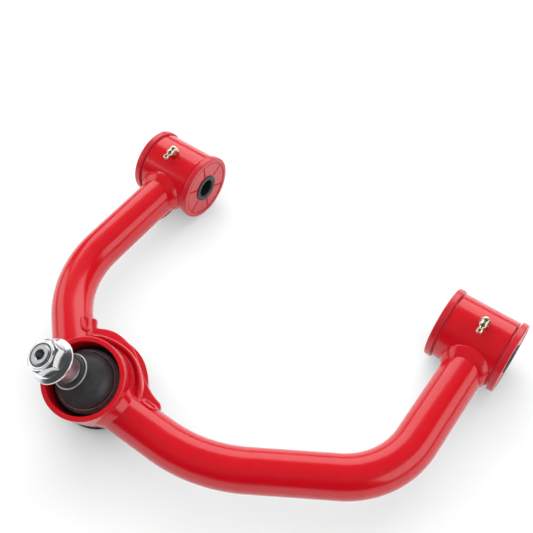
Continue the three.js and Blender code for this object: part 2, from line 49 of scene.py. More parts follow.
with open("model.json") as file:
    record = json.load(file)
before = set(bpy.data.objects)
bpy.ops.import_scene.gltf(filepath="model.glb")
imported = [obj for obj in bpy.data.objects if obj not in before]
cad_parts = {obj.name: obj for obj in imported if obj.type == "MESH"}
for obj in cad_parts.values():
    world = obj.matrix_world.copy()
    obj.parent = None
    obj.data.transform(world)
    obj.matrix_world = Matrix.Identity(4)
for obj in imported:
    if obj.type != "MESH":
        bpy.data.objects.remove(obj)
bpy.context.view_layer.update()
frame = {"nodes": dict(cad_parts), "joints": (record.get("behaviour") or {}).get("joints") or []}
JOINTS = {joint["name"]: joint for joint in frame["joints"]}

MM = 0.001
TURN = 2 * math.pi
PIVOT = np.array([0.0, *JOINTS["short_pivot"]["pos_m"][1:]]) / MM
BALL = np.array(JOINTS["ball_main_swing"]["pos_m"]) / MM - PIVOT
STUD_AXIS = np.array(JOINTS["stud_spin"]["axis"])
SIDES = {"short": -1, "long": 1}


# ---------- sizes and colours that a user would change ----------
def srgb(code):
    """Linear red, green and blue of a six-digit sRGB hex colour."""
    shares = [int(code[i:i + 2], 16) / 255 for i in (1, 3, 5)]
    return tuple(c / 12.92 if c <= 0.04045 else ((c + 0.055) / 1.055) ** 2.4 for c in shares)


def length(name, description, millimetres):
    return bpy.props.FloatProperty(
        name=name, description=description, default=millimetres * MM, min=0, precision=4, unit="LENGTH")


def tilt(name, description, degrees):
    return bpy.props.FloatProperty(
        name=name, description=description, default=math.radians(degrees), unit="ROTATION", subtype="ANGLE")


def colour(name, description, code):
    return bpy.props.FloatVectorProperty(
        name=name, description=description, default=srgb(code), size=3, min=0, max=1, subtype="COLOR")


class ControlArmSizes(bpy.types.PropertyGroup):
    """Sizes of the arm's visible pieces."""
    tube_radius: length("Tube radius", "Outer radius of the bent leg tubes", 15)
    tube_drop: length("Tube drop", "How far the legs' centrelines lie below the pivot axis", 1)
    pivot_span: length("Pivot span", "Distance between the bushings' middles", 275)
    housing_radius: length("Housing radius", "Outer radius of the bushing housings", 25.5)
    flange_radius: length("Flange radius", "Radius of the bushings' flanges", 27)
    bush_length: length("Bushing length", "Length over both flanges", 54.6)
    cup_radius: length("Cup radius", "Outer radius of the ball-joint cup", 28.2)
    cup_bore: length("Cup bore", "Radius of the cup's bore", 24.6)
    cup_lean: tilt("Cup lean", "How far the cup leans outboard", 20.5)
    cup_heading: tilt("Cup heading", "Direction of the cup's lean, from the pivot axis", -63)
    nut_hex: length("Nut across flats", "Width of the flange nut across its flats", 21)
    nut_flange: length("Nut flange radius", "Radius of the nut's flange", 15.3)


class ControlArmColours(bpy.types.PropertyGroup):
    """Base colours of the arm's finishes."""
    powder: colour("Powder coat", "Gloss red polyester powder on the weldment", "#D40018")
    bush: colour("Bushing", "Red moulded polyurethane", "#CE0820")
    rubber: colour("Boot rubber", "Black moulded chloroprene", "#2C2C2E")
    cap: colour("Dust cap", "Black moulded nylon cap", "#17181A")
    sleeve: colour("Sleeve", "Phosphated steel sleeve", "#4B4D50")
    brass: colour("Fitting", "Pale nickel-washed brass", "#E6DEC6")
    zinc: colour("Nut", "Bright zinc plating", "#E4E6E8")
    stud: colour("Stud", "Ground alloy steel", "#BCBEC0")
    nylon: colour("Locking ring", "Nylon locking ring", "#8C8D8F")
    floor: colour("Floor", "Pale matt floor", "#FFFFFF")


def sizes():
    """The size settings in millimetres and radians, by name."""
    group = bpy.context.scene.control_arm_sizes
    angles = ("cup_lean", "cup_heading")
    names = ControlArmSizes.__annotations__
    return {n: getattr(group, n) if n in angles else getattr(group, n) / MM for n in names}


# ---------- shapes: vertices in millimetres and faces ----------
def round_angles(count):
    """Evenly spaced angles once round, without the last."""
    return np.arange(count) / count * TURN


def unit(vectors):
    """Each vector at length one."""
    return vectors / np.linalg.norm(vectors, axis=-1, keepdims=True)


def grid(points, ring=True):
    """Quads over an array of stations by points by three: a closed ring of stations, or a run with two caps."""
    stations, count = points.shape[:2]
    faces = []
    for i in range(stations if ring else stations - 1):
        near, far = i * count, (i + 1) % stations * count
        for j in range(count):
            k = (j + 1) % count
            faces.append((near + j, near + k, far + k, far + j))
    if not ring:
        faces.append(tuple(range(count)))
        faces.append(tuple(range((stations - 1) * count, stations * count)))
    return points.reshape(-1, 3), faces


def joined(*shapes):
    """Several shapes as one."""
    vertices, faces, offset = [], [], 0
    for points, polygons in shapes:
        vertices.append(points)
        faces += [tuple(v + offset for v in polygon) for polygon in polygons]
        offset += len(points)
    return np.concatenate(vertices), faces


def rounded(profile, steps=5, support=0.25):
    """A closed profile of (across, along, corner radius), its corners rounded between support points."""
    out = []
    count = len(profile)
    for i in range(count):
        corner = np.array(profile[i][:2], float)
        radius = profile[i][2] if len(profile[i]) > 2 else 0
        arms = [np.array(profile[(i + d) % count][:2], float) - corner for d in (-1, 1)]
        spans = [np.linalg.norm(arm) for arm in arms]
        units = [arm / span for arm, span in zip(arms, spans)]
        cosine = float(np.clip(units[0] @ units[1], -1, 1))
        if radius == 0 or cosine < -0.999:
            out.append(corner)
            continue
        tangent = min(radius / math.tan(math.acos(cosine) / 2), 0.42 * min(spans))
        room = [min(support, 0.05 * span) for span in spans]
        out.append(corner + units[0] * (tangent + room[0]))
        for step in range(steps + 1):
            t = step / steps
            out.append(corner + units[0] * tangent * (1 - t) ** 2 + units[1] * tangent * t ** 2)
        out.append(corner + units[1] * (tangent + room[1]))
    return np.array(out)


def about(origin, axis, spin=0.0):
    """A frame whose Z is the axis, as origin and a 3 by 3 turn."""
    turn = Vector((0, 0, 1)).rotation_difference(Vector(axis)) @ Quaternion((0, 0, 1), spin)
    return np.array(origin, float), np.array(turn.to_matrix())


def turned(profile, place, segments=96, reshape=None):
    """A closed profile of (radius, height) turned about a frame's Z. reshape changes radii and heights by angle."""
    origin, turn = place
    angles = round_angles(segments)[:, None]
    radii, heights = (np.repeat(profile[None, :, column], segments, 0) for column in (0, 1))
    if reshape is not None:
        radii, heights = reshape(radii, heights, angles)
    local = np.stack([radii * np.cos(angles), radii * np.sin(angles), heights], -1)
    return grid(local @ turn.T + origin)


def hexagon(across_flats, angles, corner_trim=0.0):
    """Distance from the middle to a hexagon's side at each angle, with its corners trimmed."""
    beside = np.mod(angles + math.pi / 6, math.pi / 3) - math.pi / 6
    side = across_flats / 2 / np.cos(beside)
    return np.minimum(side, across_flats / math.sqrt(3) - corner_trim)


def bezier(points, count):
    """Points along a Bezier curve of two, three or four control points, without its last point."""
    t = np.linspace(0, 1, count, endpoint=False)[:, None]
    order = len(points) - 1
    weights = [math.comb(order, i) * t ** i * (1 - t) ** (order - i) for i in range(order + 1)]
    return sum(w * np.array(p, float) for w, p in zip(weights, points))


def slab(outline, low, high, edge, steps=4):
    """A plate with rounded edges over a flat outline of X and Y points, anticlockwise."""
    along = np.roll(outline, -1, 0) - np.roll(outline, 1, 0)
    inward = unit(np.stack([-along[:, 1], along[:, 0]], -1))
    angles = np.linspace(0, math.pi / 2, steps + 1)
    levels = [(edge * 1.4, low)]
    levels += [(edge * (1 - math.sin(a)), low + edge * (1 - math.cos(a))) for a in angles]
    levels += [(edge * (1 - math.cos(a)), high - edge * (1 - math.sin(a))) for a in angles]
    levels.append((edge * 1.4, high))
    rings = []
    for offset, height in levels:
        flat = outline + inward * offset
        rings.append(np.column_stack([flat, np.full(len(flat), height)]))
    return grid(np.array(rings), ring=False)


CREASE = math.radians(32)
OUT_OF_BOUNCE = ("powder_coat", "bush_polyurethane")


def make_piece(name, shape, slot, body, *nodes):
    """A smooth mesh object in the row frame that rides on a body and stands for CAD nodes."""
    points, faces = shape
    mesh = bpy.data.meshes.new(name)
    mesh.from_pydata(((points + PIVOT) * MM).tolist(), [], faces)
    work = bmesh.new()
    work.from_mesh(mesh)
    bmesh.ops.remove_doubles(work, verts=work.verts, dist=1e-6)
    bmesh.ops.dissolve_degenerate(work, edges=work.edges, dist=1e-7)
    bmesh.ops.recalc_face_normals(work, faces=work.faces)
    work.to_mesh(mesh)
    work.free()
    mesh.shade_smooth()
    mesh.set_sharp_from_angle(angle=CREASE)
    mesh.materials.append(finish_of(slot))
    piece = bpy.data.objects.new(name, mesh)
    bpy.context.scene.collection.objects.link(piece)
    # The glossy red stays out of the floor's bounced light, so that the shadows stay grey.
    piece.visible_diffuse = slot not in OUT_OF_BOUNCE
    if nodes:
        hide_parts(*nodes)
    if body:
        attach(piece, body)
    return piece


# ---------- round bodies that tubes run into ----------
class Barrel:
    """A round wall about an axis, between two heights."""

    def __init__(self, origin, axis, radius, low, high):
        self.origin = np.array(origin, float)
        self.axis = np.array(axis, float)
        self.radius = radius
        self.low = low
        self.high = high

    def split(self, points):
        """Height along the axis, distance from it and direction away from it."""
        offset = points - self.origin
        height = offset @ self.axis
        away = offset - height[..., None] * self.axis
        distance = np.linalg.norm(away, axis=-1)
        return height, distance, away / distance[..., None]

    def onto(self, points, radius):
        """The points moved to a radius, kept between the two heights."""
        height, _, away = self.split(points)
        height = np.clip(height, self.low, self.high)
        return self.origin + height[..., None] * self.axis + away * radius


def cup_axis():
    """The direction in which the cup leans."""
    s = sizes()
    lean, heading = s["cup_lean"], s["cup_heading"]
    return np.array([math.sin(lean) * math.cos(heading), math.sin(lean) * math.sin(heading), math.cos(lean)])


CUP_LOW = -17.4
CUP_HIGH = 26.5
CUP_SKIRT_LOW = -20.1
BUSH_FLANGE = 5
HOUSING_WALL = 3.5


def cup_barrel():
    return Barrel(BALL, cup_axis(), sizes()["cup_radius"], CUP_LOW + 0.6, CUP_HIGH - 1.2)


def housing_barrel(side):
    s = sizes()
    middle = [SIDES[side] * s["pivot_span"] / 2, 0, 0]
    half = s["bush_length"] / 2 - 6.5
    return Barrel(middle, (1, 0, 0), s["housing_radius"], -half, half)


# ---------- bent legs, in plan from the ball or the pivots ----------
SHORT_BEND = 83
LONG_BEND = 59
LONG_SWEEP = 110
LONG_OFFSET = 3.8
SHORT_ANGLE = math.radians(47)
LONG_ANGLE = math.radians(58.2)
SHORT_ASIDE = 12
FOOT_DROP = 2.6
LONG_CORNER = 95


class Leg:
    """A bent tube's flat centreline, from its bushing to the cup."""

    def __init__(self, corners, bends, height, radius):
        self.height = height
        self.radius = radius
        dense = self.rounded_path([np.array(c, float) for c in corners], bends)
        gaps = np.linalg.norm(np.diff(dense, axis=0), axis=1)
        self.run = np.concatenate([[0], np.cumsum(gaps)])
        self.path = dense
        slope = np.gradient(dense, self.run, axis=0)
        self.heading = np.unwrap(np.arctan2(slope[:, 1], slope[:, 0]))
        self.total = self.run[-1]

    @staticmethod
    def rounded_path(corners, bends):
        points = []
        start = corners[0]
        for before, corner, after, bend in zip(corners, corners[1:], corners[2:], bends):
            inward = (corner - before) / np.linalg.norm(corner - before)
            outward = (after - corner) / np.linalg.norm(after - corner)
            turn = math.acos(float(np.clip(inward @ outward, -1, 1)))
            side = math.copysign(1, inward[0] * outward[1] - inward[1] * outward[0])
            cut = bend * math.tan(turn / 2)
            arc_start = corner - inward * cut
            normal = np.array([-inward[1], inward[0]]) * side
            points.append(np.linspace(start, arc_start, 120, endpoint=False))
            swing = np.linspace(0, turn, 120, endpoint=False)[:, None]
            points.append(arc_start + normal * bend * (1 - np.cos(swing)) + inward * bend * np.sin(swing))
            start = corner + outward * cut
        points.append(np.linspace(start, corners[-1], 120))
        return np.concatenate(points)

    def at(self, run, angle, radius):
        """Points on the tube at a distance along it and an angle round it."""
        run, angle = np.broadcast_arrays(run, angle)
        heading = np.interp(run, self.run, self.heading)
        reach = radius * np.cos(angle)
        x = np.interp(run, self.run, self.path[:, 0]) - np.sin(heading) * reach
        y = np.interp(run, self.run, self.path[:, 1]) + np.cos(heading) * reach
        return np.stack([x, y, self.height + radius * np.sin(angle)], -1)

    def meets(self, angles, barrel, radius, skirt=None, from_start=False):
        """How far along the tube each of its lines reaches a barrel's wall."""
        if from_start:
            runs = np.linspace(0, self.total * 0.4, 1200)
        else:
            runs = np.linspace(self.total, self.total * 0.5, 1500)
        points = self.at(runs[:, None], angles[None, :], self.radius)
        height, distance, _ = barrel.split(points)
        wall = np.full(distance.shape, float(radius))
        if skirt is not None:
            wall = np.where(height < CUP_LOW, skirt, wall)
        clear = distance - wall
        found = np.argmax(clear > 0, axis=0)
        found = np.maximum(found, 1)
        columns = np.arange(len(angles))
        before, after = clear[found - 1, columns], clear[found, columns]
        share = np.clip(before / (before - after), 0, 1)
        return runs[found - 1] + (runs[found] - runs[found - 1]) * share


def make_leg(side):
    """The short leg has one bend; the long leg has two and runs on past the ball."""
    s = sizes()
    half_span = s["pivot_span"] / 2
    if side == "short":
        foot = BALL[:2] - SHORT_ASIDE * np.array([math.cos(SHORT_ANGLE), math.sin(SHORT_ANGLE)])
        rise = (foot[0] + half_span) / math.tan(SHORT_ANGLE)
        corners = [(-half_span, 0), (-half_span, foot[1] + rise), tuple(foot)]
        return Leg(corners, [SHORT_BEND], -s["tube_drop"], s["tube_radius"])
    foot_y = BALL[1] - FOOT_DROP
    corner_x = BALL[0] + LONG_CORNER
    leg_x = half_span + LONG_OFFSET
    rise = (leg_x - corner_x) / math.tan(LONG_ANGLE)
    corners = [(leg_x, 0), (leg_x, foot_y + rise), (corner_x, foot_y), (BALL[0], foot_y)]
    return Leg(corners, [LONG_BEND, LONG_SWEEP], -s["tube_drop"], s["tube_radius"])


ROUND_LEG = 80
LEG_STATIONS = 150
# How deep the tube's ends run into the walls, and where its end passes the cup's skirt.
INTO_HOUSING = 1.2
INTO_CUP = 1.4
SKIRT_CLEAR = 30.2


def tube_shape(side):
    """The leg's tube, each of its lines ending inside the housing's wall and inside the cup's."""
    leg = make_leg(side)
    angles = round_angles(ROUND_LEG)
    first = leg.meets(angles, housing_barrel(side), sizes()["housing_radius"] - INTO_HOUSING, from_start=True)
    last = leg.meets(angles, cup_barrel(), sizes()["cup_radius"] - INTO_CUP, skirt=SKIRT_CLEAR)
    shares = np.linspace(0, 1, LEG_STATIONS)[:, None]
    runs = first[None, :] * (1 - shares) + last[None, :] * shares
    return grid(leg.at(runs, angles[None, :], leg.radius), ring=False)


BEAD_SUNK = 0.15
RIPPLES = 46


def bead_shape(leg, barrel, on_tube, on_wall, bulge, from_start, seed):
    """A weld bead round the line where a tube meets a barrel: a closed band, a little uneven in width."""
    angles = round_angles(120)
    runs = leg.meets(angles, barrel, barrel.radius, from_start=from_start)
    root = leg.at(runs, angles, leg.radius)
    tube_out = unit(root - leg.at(runs, angles, 0.0))
    _, _, wall_out = barrel.split(root)
    spread = tube_out - (tube_out * wall_out).sum(1)[:, None] * wall_out
    spread /= np.maximum(np.linalg.norm(spread, axis=1), 0.45)[:, None]
    uneven = 1 + 0.05 * np.sin(3 * angles + seed) + 0.035 * np.sin(8 * angles + 2 * seed)
    sign = 1 if from_start else -1
    toe = leg.at(runs + sign * on_tube * uneven, angles, leg.radius - BEAD_SUNK)
    heel = barrel.onto(root + spread * on_wall * uneven[:, None], barrel.radius - BEAD_SUNK)
    lift = unit(tube_out + wall_out)
    section = []
    for share in np.linspace(0, 1, 11):
        hump = math.sin(math.pi * share)
        ripple = 0.06 * hump * np.sin(RIPPLES * angles + 5 * share)
        height = bulge * hump + 0.35 * math.sqrt(abs(hump)) + ripple
        fillet = root * 2 * share * (1 - share) + toe * (1 - share) ** 2 + heel * share ** 2
        straight = toe * (1 - share) + heel * share
        section.append(0.45 * fillet + 0.55 * straight + lift * height[:, None])
    section.append(root - lift * 1.2)
    return grid(np.stack(section, 1))


def housing_shape(side):
    """A turned housing, short of the bushings' flanges at both ends."""
    s = sizes()
    barrel = housing_barrel(side)
    half = s["bush_length"] / 2 - BUSH_FLANGE - 0.9
    outer, inner = s["housing_radius"], s["housing_radius"] - HOUSING_WALL
    profile = rounded([(inner, -half, 0.5), (outer, -half, 1.1), (outer, half, 1.1), (inner, half, 0.5)])
    return turned(profile, about(barrel.origin, (1, 0, 0)), 128)


# ---------- cup and webs ----------
def cup_shape():
    """The turned cup, with a step in its foot."""
    s = sizes()
    outer, bore = s["cup_radius"], s["cup_bore"]
    profile = rounded([
        (bore, CUP_SKIRT_LOW, 0.3), (outer - 1.7, CUP_SKIRT_LOW, 0.3), (outer - 1.7, CUP_LOW, 0.2),
        (outer, CUP_LOW, 1.0), (outer, CUP_HIGH, 1.3), (bore, CUP_HIGH, 0.9)], steps=6)
    return turned(profile, about(BALL, cup_axis()), 160)


def wall_distance(angle, radius):
    """How far the cup's wall lies from its axis in a level cut, at a heading."""
    axis = cup_axis()
    along = math.cos(angle) * axis[0] + math.sin(angle) * axis[1]
    return radius / math.sqrt(1 - along ** 2)


def axis_at(height):
    """Where the cup's axis passes a height, in X and Y."""
    axis = cup_axis()
    return (BALL + axis * (height - BALL[2]) / axis[2])[:2]


def beside_short(along, side):
    """A point beside the short leg from the ball, by distance along it and in from its centreline."""
    across = side - SHORT_ASIDE
    return np.array([-math.sin(SHORT_ANGLE) * along + math.cos(SHORT_ANGLE) * across,
                     math.cos(SHORT_ANGLE) * along + math.sin(SHORT_ANGLE) * across])


WEB_TIP = 48
WEB_CROWN = 38.5
WEB_INNER = 26.4
WEB_HALF = 2.5


def web_plate_shape():
    """The flat web: a sharp tip on the long leg, a hollow edge, and an ear with a notch on the short leg."""
    r = sizes()["tube_radius"]
    ear, ear_top = beside_short(WEB_TIP + 8, r - 4), beside_short(WEB_TIP + 6.5, r + 1.5)
    notch, heel = beside_short(WEB_TIP - 2, r + 3), beside_short(WEB_TIP - 6, r + 12.5)
    outer = [
        bezier([(WEB_TIP - 3, -4), (WEB_TIP, r - 2)], 3),
        bezier([(WEB_TIP, r - 2), (WEB_TIP + 0.8, r + 1), (WEB_TIP - 4, r + 2)], 8),
        bezier([(WEB_TIP - 4, r + 2), (WEB_CROWN - 10, 20), (20, WEB_CROWN - 9), (2, WEB_CROWN)], 24),
        bezier([(2, WEB_CROWN), (-6, WEB_CROWN + 1.6), heel + (6, 2), heel], 12),
        bezier([heel, heel + (-4, -1), notch], 8),
        bezier([notch, notch + (-1, -1), ear_top + (2, 0)], 6),
        bezier([ear_top + (2, 0), ear_top + (-1, 1), ear], 8),
        bezier([ear, beside_short(WEB_TIP + 2, -2)], 3),
    ]
    centre = axis_at(-sizes()["tube_drop"]) - BALL[:2]
    headings = np.radians(np.linspace(146, -2, 30))
    inner = [wall_distance(a, WEB_INNER) * np.array([math.cos(a), math.sin(a)]) for a in headings]
    outline = np.concatenate(outer + [np.array(inner) + centre]) + BALL[:2]
    level = -sizes()["tube_drop"]
    return slab(outline, level - WEB_HALF, level + WEB_HALF, 0.8)


# How far the cover reaches from the cup's axis, in millimetres, at headings in degrees.
COVER_REACH = np.array([(6, 38.5), (16, 37.8), (24, 37), (34, 36), (46, 35.2), (67, 34.8), (90, 35),
                        (104, 35.8), (118, 37.4), (131, 39.4), (146, 41.5)])


COVER_INNER = 26.6
COVER_FIRST, COVER_LAST = 6, 146
COVER_FADE = 26


def web_cover_shape(side):
    """The stamped cover between the legs: a groove beside the cup and a round-shouldered ridge outside it."""
    headings = np.linspace(COVER_FIRST, COVER_LAST, 90)
    reach = np.interp(headings, COVER_REACH[:, 0], COVER_REACH[:, 1])
    kernel = np.ones(9) / 9
    reach = np.convolve(np.pad(reach, 4, mode="edge"), kernel, mode="valid")
    fade = np.clip(np.minimum(headings - COVER_FIRST, COVER_LAST - headings) / COVER_FADE, 0, 1)
    crest = 10.2 + 2.6 * fade ** 2 * (3 - 2 * fade)
    section = []
    profile = [(0.0, 0.0), (0.0, 0.78), (0.10, 0.74), (0.22, 0.70), (0.34, 0.70), (0.44, 0.76), (0.54, 0.87),
               (0.63, 0.96), (0.71, 1.0), (0.79, 0.995), (0.86, 0.95), (0.92, 0.86), (0.965, 0.72), (0.99, 0.55),
               (1.0, 0.3), (1.0, 0.0)]
    base = -sizes()["tube_drop"]
    radians = np.radians(headings)
    wall = np.array([wall_distance(a, COVER_INNER) for a in radians])
    centres = np.array([axis_at(base + side * c * 0.8) for c in crest])
    for share, level in profile:
        height = base + side * crest * level
        distance = wall + (reach - wall) * share
        inner_centres = np.array([axis_at(h) for h in height])
        mix = (1 - share) * inner_centres + share * centres
        section.append(np.column_stack([mix[:, 0] + distance * np.cos(radians),
                                        mix[:, 1] + distance * np.sin(radians), height]))
    return grid(np.stack(section, 1), ring=False)


RIM_RADIUS = 1.3
RIM_LIFT = 0.1
RIM_LONG, RIM_WIDE = 5.5, 2.0


def slot_rim_shape(leg_side, along, across, heading):
    """The raised rim of a slotted tab that wraps onto a leg: a thin closed loop."""
    turns = round_angles(48)
    loop = np.column_stack([RIM_LONG * np.sign(np.cos(turns)) * np.abs(np.cos(turns)) ** 0.5,
                            RIM_WIDE * np.sin(turns)])
    cos_h, sin_h = math.cos(heading), math.sin(heading)
    flat = np.column_stack([loop[:, 0] * cos_h - loop[:, 1] * sin_h, loop[:, 0] * sin_h + loop[:, 1] * cos_h])
    r = sizes()["tube_radius"]
    if leg_side == "short":
        flat += beside_short(along, across) + BALL[:2]
        normal = np.array([math.cos(SHORT_ANGLE), math.sin(SHORT_ANGLE)])
        off = (flat - BALL[:2]) @ normal + SHORT_ASIDE
    else:
        flat += np.array([along, across - FOOT_DROP]) + BALL[:2]
        off = flat[:, 1] - BALL[1] + FOOT_DROP
    surface = -sizes()["tube_drop"] + np.sqrt(np.maximum(r ** 2 - off ** 2, 20)) + RIM_LIFT
    centre = np.column_stack([flat, surface])
    tangent = unit(np.roll(centre, -1, 0) - np.roll(centre, 1, 0))
    beside = unit(np.cross(tangent, np.array([0, 0, 1.0])))
    lift = np.cross(beside, tangent)
    ring = round_angles(12)
    section = np.cos(ring)[None, :, None] * beside[:, None] + np.sin(ring)[None, :, None] * lift[:, None]
    return grid(centre[:, None] + RIM_RADIUS * section)


def gusset_shape(side):
    """A strap under a bushing: flat on top with sloping flanks, from the housing down to the tube."""
    leg = make_leg(side)
    x = leg.path[0, 0]
    crest = rounded([(-4, -18, 0), (-5, -24.2, 2), (-9, -25.9, 3), (-27, -26.6, 8), (-47, -19.5, 6), (-54, -16.2, 2),
                     (-55, -10, 0)], steps=8)
    crest = crest[crest[:, 1] < -12]
    half_top, half_low = 3.4, 6.2
    stations = []
    for y, z in crest:
        floor = -13.0 if y < -24 else -20.0
        rise = floor - z
        section = [(-half_low, floor), (-half_low + 0.4, floor - 0.35 * rise), (-half_top - 0.9, z + 0.9),
                   (-half_top, z + 0.15), (-half_top + 1, z), (0, z - 0.05), (half_top - 1, z), (half_top, z + 0.15),
                   (half_top + 0.9, z + 0.9), (half_low - 0.4, floor - 0.35 * rise), (half_low, floor)]
        stations.append([(x + across, y, height) for across, height in section])
    return grid(np.array(stations, float), ring=False)


# ---------- bushings ----------
BUSH_SEGMENTS = 288
SPOKE_DEPTH, SPOKE_WIDTH = 1.1, 0.62
GROOVE_DEPTH, GROOVE_WIDTH, GROOVE_RADIUS = 0.9, 0.42, 23.1


def bush_shape(side, outward):
    """One half bushing: a flange with a thin round groove and six radial grooves in its face."""
    s = sizes()
    barrel = housing_barrel(side)
    face = s["bush_length"] / 2
    seat = face - BUSH_FLANGE
    flange, bore, inner = s["flange_radius"], 11.42, 21.7
    rim = rounded([(bore, 0.15, 0), (inner, 0.15, 0.3), (inner, seat, 0), (flange, seat, 0.7), (flange, face, 1.3),
                   (bore, face, 0)], steps=6)[:-1]
    across = np.concatenate([np.arange(flange - 1.7, 12.2, -0.3), [11.9, 11.6, bore]])
    profile = np.concatenate([rim, np.column_stack([across, np.full(len(across), face)])])

    def grooved(radii, heights, angles):
        beside = np.mod(angles + math.pi / 6, math.pi / 3) - math.pi / 6
        off = np.abs(np.sin(beside)) * radii
        spokes = np.exp(-(off / SPOKE_WIDTH) ** 4) * (radii < 22.6) * (radii > 12.6)
        ring = np.exp(-((radii - GROOVE_RADIUS) / GROOVE_WIDTH) ** 4)
        dish = 0.35 * (radii < 22.9)
        on_face = heights > face - 0.01
        return radii, heights - on_face * (np.maximum(SPOKE_DEPTH * spokes, GROOVE_DEPTH * ring) + dish)
    return turned(profile, about(barrel.origin, (outward, 0, 0)), BUSH_SEGMENTS, grooved)


def sleeve_shape(side):
    """A turned sleeve that stands half a millimetre out of its bushing at each end."""
    barrel = housing_barrel(side)
    half = sizes()["bush_length"] / 2 + 0.5
    profile = rounded([(7.3, 0.8 - half, 0.2), (8.1, -half, 0.2), (11.3, -half, 0.5), (11.3, half, 0.5),
                       (8.1, half, 0.2), (7.3, half - 0.8, 0.2)])
    return turned(profile, about(barrel.origin, (1, 0, 0)), 96)


FITTING_SHIFT = 1.5
FITTING_TILT = math.radians(6)


def fitting_shape(side):
    """An angled grease fitting: hexagon base, round elbow and a nipple that points towards the ball joint."""
    s = sizes()
    barrel = housing_barrel(side)
    up = (0, -math.sin(FITTING_TILT), math.cos(FITTING_TILT))
    ahead = (0, -math.cos(FITTING_TILT), -math.sin(FITTING_TILT))
    foot = barrel.origin + np.array([SIDES[side] * FITTING_SHIFT, 0, 0])
    seat = s["housing_radius"] + 0.1

    def hexed(radii, heights, angles):
        return np.where(radii > 0.1, np.minimum(radii, hexagon(7.2, angles, 0.15)), radii), heights
    base = turned(rounded([(0, seat, 0), (4.1, seat, 0.2), (4.1, seat + 3.4, 0.5), (0, seat + 3.4, 0)]),
                  about(foot, up), 96, hexed)
    shank = turned(rounded([(0, seat - 3, 0), (3.0, seat - 3, 0.2), (3.0, seat + 0.4, 0.2), (0, seat + 0.4, 0)]),
                   about(foot, up), 48)
    elbow = seat + 5.4
    knee = turned(rounded([(0, seat + 3, 0), (3, seat + 3, 0.2), (3, elbow, 0.4), (2.2, elbow + 2.2, 1.2),
                           (0, elbow + 3, 0)]), about(foot, up), 64)
    start = foot + np.array(up) * (elbow - 0.2)
    nipple = turned(rounded([(0, 0, 0), (2.75, 0, 0.2), (2.75, 3.2, 0.3), (3.1, 3.5, 0.2), (3.1, 5.0, 0.4),
                             (1.75, 6.3, 0.5), (1.75, 7.6, 0.4), (2.55, 8.7, 0.6), (2.3, 10.6, 0.7), (0.9, 11.2, 0.2),
                             (0.8, 10.9, 0.1), (0, 10.9, 0)]), about(start, ahead), 64)
    return joined(base, shank, knee, nipple)


# ---------- ball joint ----------
BOOT_WAIST = 18.6
BOOT_FOOT = 10
LEAN_END = 24.6
WAIST_RING, WAIST_WIRE = 19.6, 0.5
NECK_RING, NECK_WIRE, NECK_HEIGHT = 12.0, 0.6, 27


def smoothstep(values, low, high):
    """A share that grows smoothly from 0 at low to 1 at high."""
    t = np.clip((values - low) / (high - low), 0, 1)
    return t * t * (3 - 2 * t)


def boot_shape(profile):
    """A boot's part, turned about the cup's axis."""
    return turned(np.array(profile, float), about(BALL, cup_axis()), 144)


def spline(points, samples=6):
    """A smooth closed line through profile points, by Catmull-Rom."""
    p = np.array(points, float)
    out = []
    for i in range(len(p)):
        a, b, c, d = p[i - 1], p[i], p[(i + 1) % len(p)], p[(i + 2) % len(p)]
        for t in np.arange(samples) / samples:
            out.append(0.5 * (2 * b + (c - a) * t + (2 * a - 5 * b + 4 * c - d) * t ** 2
                              + (3 * b - a - 3 * c + d) * t ** 3))
    return np.array(out)


def lean_boot(piece):
    """Turns a boot's points about the ball, by a share that grows from its waist to its neck."""
    axis = cup_axis()
    line = unit(np.cross(axis, STUD_AXIS))
    angle = math.acos(float(axis @ STUD_AXIS))
    centre = Vector((BALL + PIVOT) * MM)
    for vertex in piece.data.vertices:
        height = (vertex.co - centre).dot(Vector(axis)) / MM
        share = float(smoothstep(height, BOOT_WAIST, LEAN_END))
        turn = Matrix.Rotation(share * angle, 3, Vector(line))
        vertex.co = turn @ (vertex.co - centre) + centre
    piece.data.update()


def on_cup_axis(height):
    """A point on the cup's axis at a height over the ball, in the row frame."""
    return tuple((BALL + cup_axis() * height + PIVOT) * MM)


def wire_ring(radius, wire, height, place):
    """A round wire bent to a ring."""
    turns = round_angles(16)
    return turned(np.column_stack([radius + wire * np.cos(turns), height + wire * np.sin(turns)]), place, 144)


BALL_RADIUS = 14.5
THREAD_CREST, THREAD_ROOT = 7.0, 6.25
SOCKET_FLATS = 6


def stud_shape():
    """The ball stud: ball, neck, ground taper, ring-grooved thread and a hexagon socket in its end."""
    ball = [(BALL_RADIUS * math.cos(a), BALL_RADIUS * math.sin(a), 0) for a in np.linspace(-math.pi / 2, 1.02, 28)]
    turns = [(THREAD_ROOT if i % 2 else THREAD_CREST, 45.8 + 0.5 * i, 0.12) for i in range(29)]
    body = ball + [(7.5, 15.0, 1.5), (7.5, 19, 2), (9, 23.6, 0.6), (9, 29, 0.4), (8.6, 30.5, 0.3), (7.4, 44.6, 0.3),
                   (6.3, 45.3, 0.2)] + turns
    body += [(7.0, 60.0, 0.2), (6.1, 60.8, 0.2), (3.75, 60.8, 0.1), (3.3, 60.3, 0.05), (3.3, 55.5, 0.05),
             (0, 54.2, 0)]
    profile = rounded(body, steps=3, support=0.1)

    def socketed(radii, heights, angles):
        inside = (radii < 3.6) & (heights > 55) & (radii > 0.5)
        return np.where(inside, hexagon(SOCKET_FLATS, angles, 0.1), radii), heights
    return turned(profile, about(BALL, STUD_AXIS, math.radians(8)), 96, socketed)


NUT_SEAT = 46.6
NUT_TOP = 59.8
NUT_SPIN = math.radians(20)


